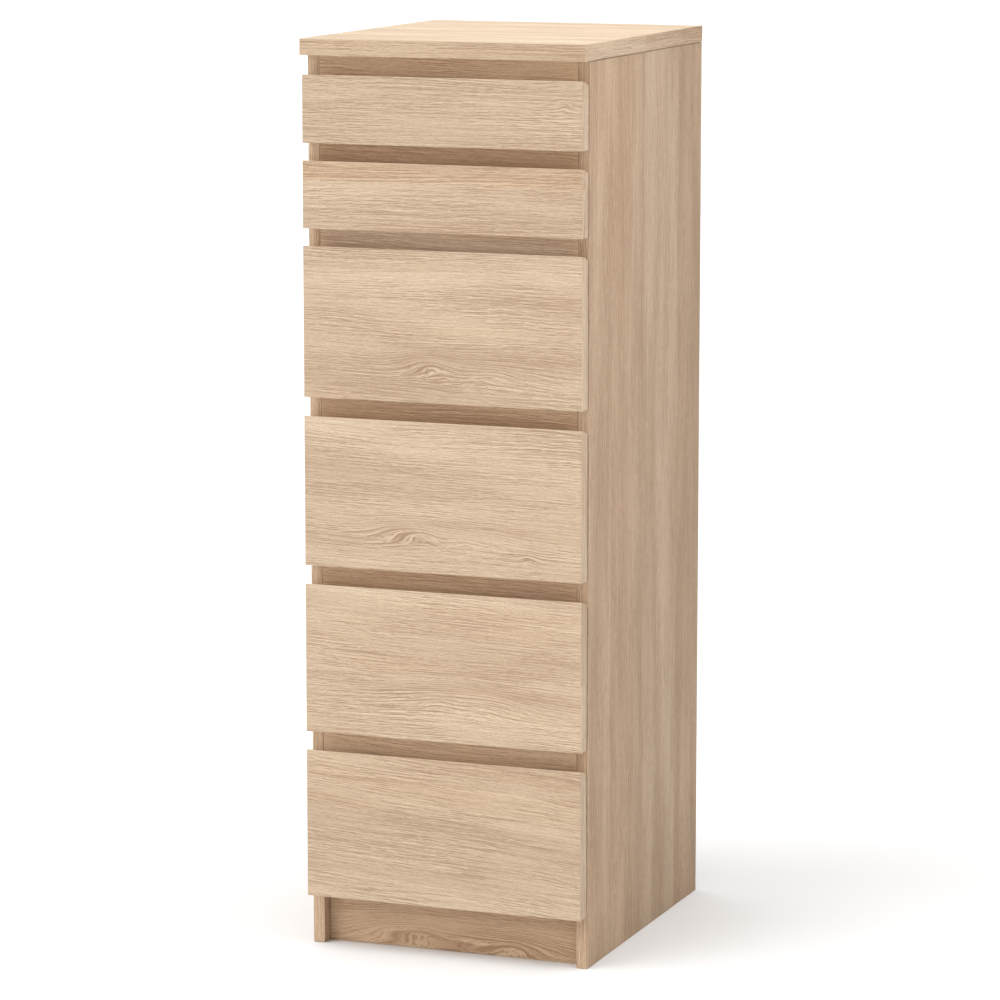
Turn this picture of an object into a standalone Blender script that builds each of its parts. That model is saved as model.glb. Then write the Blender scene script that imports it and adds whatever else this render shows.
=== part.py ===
"""Tall narrow chest of six drawers with a hinged top lid over a shallow tray.

Metres, +Z up, +X to the right, the drawers face -Y. The origin is on the floor
under the middle of the chest's outline.
"""

import math

import bmesh
import bpy
from mathutils import Vector

# Outline
WIDTH = 0.400
DEPTH = 0.480
HEIGHT = 1.230

# Clearance left between two pieces that touch
FIT = 0.0003

# Boards
BOARD = 0.016
EDGE_ROUNDING = 0.0006
EDGE_MIN_ANGLE = math.radians(50.0)
LID_THICKNESS = 0.022
LID_SIDE_OVERHANG = 0.0015
LID_BACK_INSET = 0.0025
LID_REST_GAP = 0.0008
CARCASS_SETBACK = 0.0245
PLINTH_SETBACK = 0.020
PLINTH_OVER_FRONT_EDGE = 0.005
RAIL_HEIGHT = 0.036
BACK_PANEL_THICKNESS = 0.003
BACK_PANEL_INSET = 0.0055
BACK_PANEL_BOTTOM_Z = 0.060
BACK_RAIL_HEIGHT = 0.0565
TRAY_FLOOR_THICKNESS = 0.005

# Drawer fronts, counted from the top
FRONT_THICKNESS = 0.022
FRONT_INSET = 0.001
FRONT_SIDE_INSET = 0.003
FRONT_BOTTOM_Z = 0.071
SHALLOW_FRONT = 0.090
DEEP_FRONT = 0.202
SHALLOW_GAP = 0.0233
DEEP_GAP = 0.0257
SHALLOW_COUNT = 2
DEEP_COUNT = 4
GRIP_DROP = 0.0072
GRIP_LIP = 0.001
GRIP_CURVE = 1.6
GRIP_STEPS = 8

# Drawer boxes
BOX_LENGTH = 0.420
BOX_SIDE_THICKNESS = 0.012
BOX_SIDE_CLEARANCE = 0.013
BOX_LIFT = 0.012
SHALLOW_BOX_HEIGHT = 0.062
DEEP_BOX_HEIGHT = 0.150
BOX_BOTTOM_THICKNESS = 0.003
BOX_BOTTOM_LIFT = 0.010
GROOVE_DEPTH = 0.005

# Steel runners on the side panels
RUNNER_LENGTH = 0.400
RUNNER_SETBACK = 0.003
RUNNER_LIFT = 0.008
RUNNER_SHEET = 0.0012
RUNNER_WEB_HEIGHT = 0.032
RUNNER_REACH = 0.011
RUNNER_LIP_HEIGHT = 0.004
RUNNER_ROOF_Z = 0.016
RUNNER_ROOF_REACH = 0.009

# Lid hinges
HINGE_X = 0.120
PIVOT_FROM_LID_BACK = 0.0045
PIVOT_ABOVE_LID_BOTTOM = 0.0125
NOTCH_WIDTH = 0.024
NOTCH_LENGTH = 0.022
NOTCH_HEIGHT = 0.019
POCKET_SHEET = 0.0015
PIN_RADIUS = 0.0020
EYE_BORE_RADIUS = 0.0021
EYE_RADIUS = 0.0042
ROUND_SEGMENTS = 48
ARM_WIDTH = 0.016
ARM_PLATE = 0.0022
ARM_FOOT_DROP = 0.0285
ARM_NECK_RISE = 0.0008
ARM_SHOULDER_RISE = 0.0035

# Mirror under the lid
MIRROR_WIDTH = 0.320
MIRROR_LENGTH = 0.380
MIRROR_THICKNESS = 0.003

# Derived planes
LID_BOTTOM_Z = HEIGHT - LID_THICKNESS
CARCASS_TOP_Z = LID_BOTTOM_Z - LID_REST_GAP
FRONT_Y = -DEPTH / 2
BACK_Y = DEPTH / 2
CARCASS_FRONT_Y = FRONT_Y + CARCASS_SETBACK
RAIL_BACK_Y = CARCASS_FRONT_Y + BOARD
BACK_RAIL_Y = BACK_Y - BOARD
LID_BACK_Y = BACK_Y - LID_BACK_INSET
PANEL_OUTER_X = WIDTH / 2 - LID_SIDE_OVERHANG
PANEL_INNER_X = PANEL_OUTER_X - BOARD
BETWEEN_X = PANEL_INNER_X - FIT
DRAWER_FACE_Y = FRONT_Y + FRONT_INSET
DRAWER_REAR_FACE_Y = DRAWER_FACE_Y + FRONT_THICKNESS
BOX_OUTER_X = PANEL_INNER_X - BOX_SIDE_CLEARANCE
BOX_INNER_X = BOX_OUTER_X - BOX_SIDE_THICKNESS
BOX_FRONT_Y = DRAWER_REAR_FACE_Y + FIT
BOX_REAR_Y = BOX_FRONT_Y + BOX_LENGTH
TOP_RAIL_BOTTOM_Z = CARCASS_TOP_Z - RAIL_HEIGHT
BACK_RAIL_BOTTOM_Z = CARCASS_TOP_Z - BACK_RAIL_HEIGHT
PIVOT_Y = LID_BACK_Y - PIVOT_FROM_LID_BACK
PIVOT_Z = LID_BOTTOM_Z + PIVOT_ABOVE_LID_BOTTOM

X_AXIS = 0
Y_AXIS = 1

SIDES = (("left", -1.0), ("right", 1.0))


def clear_scene():
    """Remove every object the scene starts with."""
    for obj in list(bpy.data.objects):
        bpy.data.objects.remove(obj, do_unlink=True)


def make_material(name, color, roughness, metallic=0.0):
    """Return a Principled material with the given colour and surface."""
    material = bpy.data.materials.new(name)
    material.use_nodes = True
    shader = material.node_tree.nodes["Principled BSDF"]
    shader.inputs["Base Color"].default_value = (*color, 1.0)
    shader.inputs["Roughness"].default_value = roughness
    shader.inputs["Metallic"].default_value = metallic
    material.diffuse_color = (*color, 1.0)
    return material


def add_empty(name, location):
    """Add an empty that carries the pieces of one moving body."""
    empty = bpy.data.objects.new(name, None)
    empty.empty_display_size = 0.02
    empty.location = location
    bpy.context.collection.objects.link(empty)
    return empty


def add_object(name, mesh, centre, material, carrier=None):
    """Link a mesh as an object whose centre is given in chest coordinates."""
    obj = bpy.data.objects.new(name, mesh)
    mesh.materials.append(material)
    location = Vector(centre)
    if carrier is not None:
        obj.parent = carrier
        location = location - carrier.location
    obj.location = location
    bpy.context.collection.objects.link(obj)
    return obj


def soften_edges(obj):
    """Round the sharp edges of a board slightly."""
    bevel = obj.modifiers.new("edges", "BEVEL")
    bevel.width = EDGE_ROUNDING
    bevel.segments = 2
    bevel.limit_method = "ANGLE"
    bevel.angle_limit = EDGE_MIN_ANGLE


def box_mesh(name, size):
    """Return a box mesh of the given size, centred on its origin."""
    mesh = bpy.data.meshes.new(name)
    bm = bmesh.new()
    bmesh.ops.create_cube(bm, size=1.0)
    bmesh.ops.scale(bm, vec=Vector(size), verts=bm.verts)
    bm.to_mesh(mesh)
    bm.free()
    return mesh


def add_board(name, low, high, material, carrier=None, rounded=True):
    """Add a board that fills the box from corner low to corner high."""
    low_corner = Vector(low)
    high_corner = Vector(high)
    mesh = box_mesh(name, high_corner - low_corner)
    centre = (low_corner + high_corner) / 2
    obj = add_object(name, mesh, centre, material, carrier)
    if rounded:
        soften_edges(obj)
    return obj


def prism_mesh(name, outline, axis, length):
    """Return a prism of a flat outline, centred along the X or the Y axis."""
    mesh = bpy.data.meshes.new(name)
    bm = bmesh.new()
    rim = []
    for across, up in outline:
        if axis == X_AXIS:
            corner = (-length / 2, across, up)
        else:
            corner = (across, -length / 2, up)
        rim.append(bm.verts.new(corner))
    cap = bm.faces.new(rim)
    swept = bmesh.ops.extrude_face_region(bm, geom=[cap])
    moved = [item for item in swept["geom"] if isinstance(item, bmesh.types.BMVert)]
    step = Vector((0.0, 0.0, 0.0))
    step[axis] = length
    bmesh.ops.translate(bm, verts=moved, vec=step)
    bmesh.ops.recalc_face_normals(bm, faces=bm.faces)
    bm.to_mesh(mesh)
    bm.free()
    return mesh


def rod_mesh(name, radius, length):
    """Return a round rod along X, centred on its origin, with smooth walls."""
    mesh = bpy.data.meshes.new(name)
    bm = bmesh.new()
    ends = []
    for x in (-length / 2, length / 2):
        ring = []
        for index in range(ROUND_SEGMENTS):
            angle = 2.0 * math.pi * index / ROUND_SEGMENTS
            ring.append(bm.verts.new((x, radius * math.cos(angle), radius * math.sin(angle))))
        bm.faces.new(ring)
        ends.append(ring)
    for index in range(ROUND_SEGMENTS):
        following = (index + 1) % ROUND_SEGMENTS
        wall = bm.faces.new((ends[0][index], ends[0][following], ends[1][following], ends[1][index]))
        wall.smooth = True
    bmesh.ops.recalc_face_normals(bm, faces=bm.faces)
    bm.to_mesh(mesh)
    bm.free()
    return mesh


def combine(target, tool, operation):
    """Cut a hidden tool piece out of a target, or merge the tool into it."""
    tool.hide_render = True
    tool.display_type = "WIRE"
    modifier = target.modifiers.new(tool.name, "BOOLEAN")
    modifier.operation = operation
    modifier.solver = "EXACT"
    modifier.object = tool


def front_rows():
    """Return the bottom edge and height of each drawer front, from the top."""
    rows = []
    z = FRONT_BOTTOM_Z
    for _ in range(DEEP_COUNT):
        rows.append((z, DEEP_FRONT))
        z += DEEP_FRONT + DEEP_GAP
    z += SHALLOW_GAP - DEEP_GAP
    for _ in range(SHALLOW_COUNT):
        rows.append((z, SHALLOW_FRONT))
        z += SHALLOW_FRONT + SHALLOW_GAP
    rows.reverse()
    return rows


def front_outline(height):
    """Return the side view of a drawer front with its finger grip."""
    front = -FRONT_THICKNESS / 2
    rear = FRONT_THICKNESS / 2
    bottom = -height / 2
    top = height / 2
    outline = [(front, bottom), (front, top)]
    run = FRONT_THICKNESS - GRIP_LIP
    for step in range(GRIP_STEPS + 1):
        share = step / GRIP_STEPS
        outline.append((front + GRIP_LIP + run * share, top - GRIP_DROP * share ** GRIP_CURVE))
    outline.append((rear, bottom))
    return outline


def side_outline(height, groove_low, groove_high, inward):
    """Return the end view of a drawer side with the groove on its inner face."""
    half = BOX_SIDE_THICKNESS / 2
    low = -height / 2
    high = height / 2
    return [
        (-inward * half, low),
        (inward * half, low),
        (inward * half, groove_low),
        (inward * (half - GROOVE_DEPTH), groove_low),
        (inward * (half - GROOVE_DEPTH), groove_high),
        (inward * half, groove_high),
        (inward * half, high),
        (-inward * half, high),
    ]


def runner_outline(inward):
    """Return the end view of a cabinet runner, its web against the panel."""
    sheet = RUNNER_SHEET
    points = (
        (0.0, 0.0),
        (RUNNER_REACH, 0.0),
        (RUNNER_REACH, RUNNER_LIP_HEIGHT),
        (RUNNER_REACH - sheet, RUNNER_LIP_HEIGHT),
        (RUNNER_REACH - sheet, sheet),
        (sheet, sheet),
        (sheet, RUNNER_ROOF_Z),
        (RUNNER_ROOF_REACH, RUNNER_ROOF_Z),
        (RUNNER_ROOF_REACH, RUNNER_ROOF_Z + sheet),
        (sheet, RUNNER_ROOF_Z + sheet),
        (sheet, RUNNER_WEB_HEIGHT),
        (0.0, RUNNER_WEB_HEIGHT),
    )
    return [(inward * across, up) for across, up in points]


def add_drawer(number, front_z, front_height, box_height, finishes):
    """Build one drawer: a veneered front and a grooved box with a loose bottom."""
    label = f"drawer_{number}"
    carrier = add_empty(f"{label}_slide", (0.0, DRAWER_FACE_Y, front_z + front_height / 2))
    box_z = front_z + BOX_LIFT
    box_top = box_z + box_height
    bottom_z = box_z + BOX_BOTTOM_LIFT
    bottom_top = bottom_z + BOX_BOTTOM_THICKNESS

    front_length = WIDTH - 2 * FRONT_SIDE_INSET
    front_mesh = prism_mesh(f"{label}_front", front_outline(front_height), X_AXIS, front_length)
    front_centre = (0.0, DRAWER_FACE_Y + FRONT_THICKNESS / 2, front_z + front_height / 2)
    front = add_object(f"{label}_front", front_mesh, front_centre, finishes["oak"], carrier)
    soften_edges(front)
    groove_size = (2 * (BOX_INNER_X + GROOVE_DEPTH), 2 * GROOVE_DEPTH, BOX_BOTTOM_THICKNESS + 2 * FIT)
    groove_mesh = box_mesh(f"{label}_groove", groove_size)
    groove_centre = (0.0, DRAWER_REAR_FACE_Y, bottom_z + BOX_BOTTOM_THICKNESS / 2)
    groove = add_object(f"{label}_groove", groove_mesh, groove_centre, finishes["oak"], carrier)
    combine(front, groove, "DIFFERENCE")

    side_centre_z = box_z + box_height / 2
    side_centre_y = (BOX_FRONT_Y + BOX_REAR_Y) / 2
    side_centre_x = (BOX_OUTER_X + BOX_INNER_X) / 2
    for side, sign in SIDES:
        outline = side_outline(
            box_height,
            bottom_z - FIT - side_centre_z,
            bottom_top + FIT - side_centre_z,
            -sign,
        )
        mesh = prism_mesh(f"{label}_side_{side}", outline, Y_AXIS, BOX_LENGTH)
        centre = (sign * side_centre_x, side_centre_y, side_centre_z)
        add_object(f"{label}_side_{side}", mesh, centre, finishes["foil"], carrier)

    add_board(
        f"{label}_back",
        (-BOX_INNER_X + FIT, BOX_REAR_Y - BOX_SIDE_THICKNESS, bottom_top + FIT),
        (BOX_INNER_X - FIT, BOX_REAR_Y, box_top),
        finishes["foil"],
        carrier,
        rounded=False,
    )
    tongue = GROOVE_DEPTH - FIT
    add_board(
        f"{label}_bottom",
        (-BOX_INNER_X - tongue, DRAWER_REAR_FACE_Y - tongue, bottom_z),
        (BOX_INNER_X + tongue, BOX_REAR_Y, bottom_top),
        finishes["hardboard"],
        carrier,
        rounded=False,
    )


def add_runners(number, front_z, finishes):
    """Fix one pair of steel runners to the side panels for one drawer."""
    length_centre = CARCASS_FRONT_Y + RUNNER_SETBACK + RUNNER_LENGTH / 2
    for side, sign in SIDES:
        name = f"runner_{number}_{side}"
        mesh = prism_mesh(name, runner_outline(-sign), Y_AXIS, RUNNER_LENGTH)
        centre = (sign * BETWEEN_X, length_centre, front_z + RUNNER_LIFT)
        add_object(name, mesh, centre, finishes["steel"])


def add_carcass(rows, finishes):
    """Build the side panels, front rails, plinth, back and tray floor."""
    oak = finishes["oak"]
    for side, sign in SIDES:
        inner = sign * PANEL_INNER_X
        outer = sign * PANEL_OUTER_X
        add_board(
            f"side_panel_{side}",
            (min(inner, outer), CARCASS_FRONT_Y, 0.0),
            (max(inner, outer), BACK_Y, CARCASS_TOP_Z),
            oak,
        )

    rail_bottoms = [TOP_RAIL_BOTTOM_Z]
    for upper, lower in zip(rows, rows[1:]):
        gap_middle = (upper[0] + lower[0] + lower[1]) / 2
        rail_bottoms.append(gap_middle - RAIL_HEIGHT / 2)
    for number, rail_z in enumerate(rail_bottoms, start=1):
        add_board(
            f"front_rail_{number}",
            (-BETWEEN_X, CARCASS_FRONT_Y, rail_z),
            (BETWEEN_X, RAIL_BACK_Y, rail_z + RAIL_HEIGHT),
            oak,
        )

    plinth_y = CARCASS_FRONT_Y + PLINTH_SETBACK
    add_board(
        "plinth",
        (-BETWEEN_X, plinth_y, 0.0),
        (BETWEEN_X, plinth_y + BOARD, FRONT_BOTTOM_Z + PLINTH_OVER_FRONT_EDGE),
        oak,
    )
    add_board(
        "back_rail",
        (-BETWEEN_X, BACK_RAIL_Y, BACK_RAIL_BOTTOM_Z),
        (BETWEEN_X, BACK_Y, CARCASS_TOP_Z),
        oak,
    )
    back_panel_y = BACK_Y - BACK_PANEL_INSET
    add_board(
        "back_panel",
        (-BETWEEN_X, back_panel_y - BACK_PANEL_THICKNESS, BACK_PANEL_BOTTOM_Z),
        (BETWEEN_X, back_panel_y, BACK_RAIL_BOTTOM_Z - FIT),
        finishes["hardboard"],
        rounded=False,
    )
    add_board(
        "tray_floor",
        (-BETWEEN_X, RAIL_BACK_Y + FIT, TOP_RAIL_BOTTOM_Z),
        (BETWEEN_X, BACK_RAIL_Y - FIT, TOP_RAIL_BOTTOM_Z + TRAY_FLOOR_THICKNESS),
        finishes["foil"],
        rounded=False,
    )


def hinge_arm_outline():
    """Return the side view of a hinge arm about its pivot, without the bore."""
    foot_rear = BACK_RAIL_Y - FIT - PIVOT_Y
    foot_front = foot_rear - ARM_PLATE
    rail_top = CARCASS_TOP_Z - PIVOT_Z
    neck = (foot_rear, rail_top + ARM_NECK_RISE)
    shoulder = (foot_front, rail_top + ARM_SHOULDER_RISE)
    outline = [(foot_front, rail_top - ARM_FOOT_DROP), (foot_rear, rail_top - ARM_FOOT_DROP), neck]

    lower_turn = math.acos(EYE_RADIUS / math.hypot(*neck))
    upper_turn = math.acos(EYE_RADIUS / math.hypot(*shoulder))
    start = math.atan2(neck[1], neck[0]) + lower_turn
    end = math.atan2(shoulder[1], shoulder[0]) - upper_turn + 2.0 * math.pi
    for step in range(ROUND_SEGMENTS + 1):
        angle = start + (end - start) * step / ROUND_SEGMENTS
        outline.append((EYE_RADIUS * math.cos(angle), EYE_RADIUS * math.sin(angle)))
    outline.append(shoulder)
    return outline


def pocket_outline():
    """Return the end view of a hinge pocket: two cheeks under a roof."""
    outer = NOTCH_WIDTH / 2 - FIT
    inner = outer - POCKET_SHEET
    roof = NOTCH_HEIGHT - FIT
    return [
        (-outer, FIT),
        (-inner, FIT),
        (-inner, roof - POCKET_SHEET),
        (inner, roof - POCKET_SHEET),
        (inner, FIT),
        (outer, FIT),
        (outer, roof),
        (-outer, roof),
    ]


def add_hinges(carrier, lid, finishes):
    """Build both lid hinges and cut their notches in the lid's rear edge."""
    steel = finishes["zinc"]
    for side, sign in SIDES:
        x = sign * HINGE_X
        overshoot = NOTCH_LENGTH / 2
        notch_size = (NOTCH_WIDTH, NOTCH_LENGTH + overshoot, 2 * NOTCH_HEIGHT)
        notch_mesh = box_mesh(f"notch_{side}", notch_size)
        notch_y = LID_BACK_Y - NOTCH_LENGTH / 2 + overshoot / 2
        notch = add_object(f"notch_{side}", notch_mesh, (x, notch_y, LID_BOTTOM_Z), steel, carrier)
        combine(lid, notch, "DIFFERENCE")

        pocket_length = NOTCH_LENGTH - 2 * FIT
        pocket_mesh = prism_mesh(f"hinge_pocket_{side}", pocket_outline(), Y_AXIS, pocket_length)
        pocket_centre = (x, LID_BACK_Y - NOTCH_LENGTH / 2, LID_BOTTOM_Z)
        pocket = add_object(f"hinge_pocket_{side}", pocket_mesh, pocket_centre, steel, carrier)
        pin_mesh = rod_mesh(f"pin_{side}", PIN_RADIUS, NOTCH_WIDTH - 2 * FIT - POCKET_SHEET)
        pin = add_object(f"pin_{side}", pin_mesh, (x, PIVOT_Y, PIVOT_Z), steel, carrier)
        combine(pocket, pin, "UNION")

        arm_mesh = prism_mesh(f"hinge_arm_{side}", hinge_arm_outline(), X_AXIS, ARM_WIDTH)
        arm = add_object(f"hinge_arm_{side}", arm_mesh, (x, PIVOT_Y, PIVOT_Z), steel)
        bore_mesh = rod_mesh(f"bore_{side}", EYE_BORE_RADIUS, 2 * ARM_WIDTH)
        bore = add_object(f"bore_{side}", bore_mesh, (x, PIVOT_Y, PIVOT_Z), steel)
        combine(arm, bore, "DIFFERENCE")


def add_lid(finishes):
    """Build the lid with its mirror and hinges, turning on the hinge pivots."""
    carrier = add_empty("lid_pivot", (0.0, PIVOT_Y, PIVOT_Z))
    lid = add_board(
        "lid",
        (-WIDTH / 2, FRONT_Y, LID_BOTTOM_Z),
        (WIDTH / 2, LID_BACK_Y, HEIGHT),
        finishes["oak"],
        carrier,
    )
    mirror_top = LID_BOTTOM_Z - FIT
    mirror_y = (RAIL_BACK_Y + BACK_RAIL_Y) / 2 - BOARD
    add_board(
        "mirror",
        (-MIRROR_WIDTH / 2, mirror_y - MIRROR_LENGTH / 2, mirror_top - MIRROR_THICKNESS),
        (MIRROR_WIDTH / 2, mirror_y + MIRROR_LENGTH / 2, mirror_top),
        finishes["mirror"],
        carrier,
    )
    add_hinges(carrier, lid, finishes)


def main():
    """Build the whole chest."""
    clear_scene()
    finishes = {
        "oak": make_material("white_stained_oak", (0.66, 0.50, 0.35), 0.50),
        "foil": make_material("white_foil", (0.78, 0.76, 0.72), 0.45),
        "hardboard": make_material("painted_hardboard", (0.70, 0.66, 0.60), 0.60),
        "steel": make_material("painted_steel", (0.80, 0.80, 0.79), 0.35, 0.1),
        "zinc": make_material("zinc_plated_steel", (0.62, 0.63, 0.65), 0.35, 1.0),
        "mirror": make_material("mirror_glass", (0.90, 0.92, 0.92), 0.02, 1.0),
    }
    rows = front_rows()
    add_carcass(rows, finishes)
    for number, (front_z, front_height) in enumerate(rows, start=1):
        box_height = SHALLOW_BOX_HEIGHT if number <= SHALLOW_COUNT else DEEP_BOX_HEIGHT
        add_drawer(number, front_z, front_height, box_height, finishes)
        add_runners(number, front_z, finishes)
    add_lid(finishes)


main()
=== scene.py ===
"""A tall narrow chest of drawers in white-stained oak, dressed over its CAD frame."""
import logging
import math
from collections.abc import Iterable, Mapping, Sequence
from dataclasses import dataclass, field
from enum import Enum, IntEnum
from typing import Any, Union

import bmesh
import bpy
from mathutils import Matrix, Vector


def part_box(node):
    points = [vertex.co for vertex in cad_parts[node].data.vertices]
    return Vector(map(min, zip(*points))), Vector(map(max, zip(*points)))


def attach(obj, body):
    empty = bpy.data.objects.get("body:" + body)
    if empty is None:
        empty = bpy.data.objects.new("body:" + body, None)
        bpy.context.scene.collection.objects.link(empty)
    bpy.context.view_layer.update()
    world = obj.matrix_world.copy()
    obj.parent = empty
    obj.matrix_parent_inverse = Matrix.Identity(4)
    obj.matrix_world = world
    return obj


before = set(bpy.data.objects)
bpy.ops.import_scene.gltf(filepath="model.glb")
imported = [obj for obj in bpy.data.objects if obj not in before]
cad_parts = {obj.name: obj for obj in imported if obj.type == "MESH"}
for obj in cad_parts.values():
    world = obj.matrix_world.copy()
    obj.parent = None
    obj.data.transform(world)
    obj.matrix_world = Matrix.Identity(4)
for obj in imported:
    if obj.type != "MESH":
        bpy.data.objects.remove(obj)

LOG = logging.getLogger("chest")
RAIL_COUNT = 6
DRAWER_COUNT = 6
FRONT_SEED = 80.0
FRONT_SEED_STEP = 5.1

Colour = tuple[float, float, float]
Point = tuple[float, float, float]
Outline = Sequence[tuple[float, float]]
Number = Union["Signal", float]


class Axis(IntEnum):
    """An axis of the chest: across its width, into its depth, or up."""

    WIDTH = 0
    DEPTH = 1
    UP = 2


class Side(Enum):
    """A side of the chest seen from the front, and the sign of X there."""

    LEFT = -1.0
    RIGHT = 1.0

    @property
    def word(self) -> str:
        """The side's name as it stands in the names of pieces."""
        return self.name.lower()


# Shader maths


class Signal:
    """The output of a shader node, usable in Python arithmetic."""

    def __init__(self, graph: "Graph", socket: bpy.types.NodeSocket) -> None:
        """Wrap one output socket of a node in the graph."""
        self.graph = graph
        self.socket = socket

    def __add__(self, other: Number) -> "Signal":
        """Return the sum with another value."""
        return self.graph.math("ADD", self, other)

    __radd__ = __add__

    def __sub__(self, other: Number) -> "Signal":
        """Return this value less another."""
        return self.graph.math("SUBTRACT", self, other)

    def __rsub__(self, other: Number) -> "Signal":
        """Return another value less this one."""
        return self.graph.math("SUBTRACT", other, self)

    def __mul__(self, other: Number) -> "Signal":
        """Return the product with another value."""
        return self.graph.math("MULTIPLY", self, other)

    __rmul__ = __mul__

    def __truediv__(self, other: Number) -> "Signal":
        """Return this value divided by another."""
        return self.graph.math("DIVIDE", self, other)

    def __abs__(self) -> "Signal":
        """Return this value without its sign."""
        return self.graph.math("ABSOLUTE", self)

    def above(self, limit: Number) -> "Signal":
        """Return 1 where this value is over the limit, and 0 elsewhere."""
        return self.graph.math("GREATER_THAN", self, limit)

    def least(self, other: Number) -> "Signal":
        """Return the smaller of this value and another."""
        return self.graph.math("MINIMUM", self, other)

    def most(self, other: Number) -> "Signal":
        """Return the larger of this value and another."""
        return self.graph.math("MAXIMUM", self, other)

    def step(self, low: float, high: float) -> "Signal":
        """Return a smooth rise from 0 to 1.

        Args:
            low: Where the rise begins.
            high: Where the rise ends.

        Returns:
            The risen value, flat outside the two.
        """
        return self.graph.signal(
            "ShaderNodeMapRange",
            "Result",
            {"interpolation_type": "SMOOTHSTEP"},
            {"Value": self, "From Min": low, "From Max": high},
        )


class Graph:
    """The node tree of a material or of the surroundings."""

    def __init__(self, tree: bpy.types.NodeTree) -> None:
        """Start on an empty tree that nodes are added to."""
        self.tree = tree
        self.tree.nodes.clear()

    def node(
        self,
        kind: str,
        settings: Mapping[str, Any] | None = None,
        inputs: Mapping[str, Any] | None = None,
    ) -> bpy.types.Node:
        """Add a node.

        Args:
            kind: The node's Blender type.
            settings: Its properties, set before the sockets.
            inputs: Values or signals by input name or identifier.

        Returns:
            The new node.
        """
        made = self.tree.nodes.new(kind)
        for name, value in (settings or {}).items():
            setattr(made, name, value)
        for name, value in (inputs or {}).items():
            self.feed(made, name, value)
        return made

    def feed(self, node: bpy.types.Node, name: str, value: Any) -> None:
        """Set or link one input of a node.

        Args:
            node: The node whose input is fed.
            name: The input's identifier or name.
            value: A signal to link, or a constant to set.
        """
        matches = [s for s in node.inputs if s.identifier == name]
        socket = matches[0] if matches else node.inputs[name]
        if isinstance(value, Signal):
            self.tree.links.new(value.socket, socket)
        else:
            socket.default_value = value

    def signal(
        self,
        kind: str,
        output: str,
        settings: Mapping[str, Any] | None = None,
        inputs: Mapping[str, Any] | None = None,
    ) -> Signal:
        """Add a node and return one of its outputs.

        Args:
            kind: The node's Blender type.
            output: The output's identifier or name.
            settings: Its properties, set before the sockets.
            inputs: Values or signals by input name or identifier.

        Returns:
            The named output as a signal.
        """
        made = self.node(kind, settings, inputs)
        matches = [s for s in made.outputs if s.identifier == output]
        return Signal(self, matches[0] if matches else made.outputs[output])

    def math(self, operation: str, *values: Number) -> Signal:
        """Add a Math node on one or two values and return its result."""
        inputs = {name: value for name, value in zip(("Value", "Value_001"), values)}
        return self.signal("ShaderNodeMath", "Value", {"operation": operation}, inputs)

    def mix(self, factor: Number, low: Any, high: Any, blend: str = "MIX") -> Signal:
        """Mix two colours.

        Args:
            factor: How much of the second colour shows.
            low: The first colour, a signal or three numbers.
            high: The second colour, a signal or three numbers.
            blend: The blend mode.

        Returns:
            The mixed colour.
        """
        colours = [c if isinstance(c, Signal) else (*c, 1.0) for c in (low, high)]
        return self.signal(
            "ShaderNodeMix",
            "Result_Color",
            {"data_type": "RGBA", "blend_type": blend},
            {"Factor_Float": factor, "A_Color": colours[0], "B_Color": colours[1]},
        )

    def vector(self, x: Number, y: Number, z: Number) -> Signal:
        """Return a vector made of three values."""
        return self.signal("ShaderNodeCombineXYZ", "Vector", inputs={"X": x, "Y": y, "Z": z})

    def noise(
        self, place: Signal, detail: float, roughness: float = 0.5, scale: float = 1.0
    ) -> Signal:
        """Return smooth noise about one half, read at a place that is already scaled."""
        values = {"Vector": place, "Scale": scale, "Detail": detail, "Roughness": roughness}
        return self.signal("ShaderNodeTexNoise", "Fac", {"noise_dimensions": "3D"}, values)

    def fibre(self, along: Number, across: Number, detail: float = 0.0) -> Signal:
        """Return flat noise about zero, read at two scaled coordinates.

        Args:
            along: The coordinate along the grain, scaled.
            across: The coordinate across the grain, scaled.
            detail: How many finer layers are added.

        Returns:
            The noise value, about -0.5 to 0.5.
        """
        place = self.vector(along, across, 0.0)
        values = {"Vector": place, "Scale": 1.0, "Detail": detail, "Roughness": 0.5}
        return self.signal("ShaderNodeTexNoise", "Fac", {"noise_dimensions": "2D"}, values) - 0.5

    def strand(self, along: Number, across: Number) -> Signal:
        """Return fine lines about zero, with no broad light or dark patches."""
        return self.fibre(along, across) - self.fibre(along, across + 0.5)

    def position(self) -> Signal:
        """Return the place on the piece in chest coordinates."""
        return self.signal("ShaderNodeTexCoord", "Object")

    def generated(self) -> Signal:
        """Return the generated coordinates, which in a sky are its directions."""
        return self.signal("ShaderNodeTexCoord", "Generated")

    def axes(self) -> tuple[Signal, Signal, Signal]:
        """Return the three coordinates of the place on the piece."""
        split = self.node("ShaderNodeSeparateXYZ", inputs={"Vector": self.position()})
        return tuple(Signal(self, output) for output in split.outputs)


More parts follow.
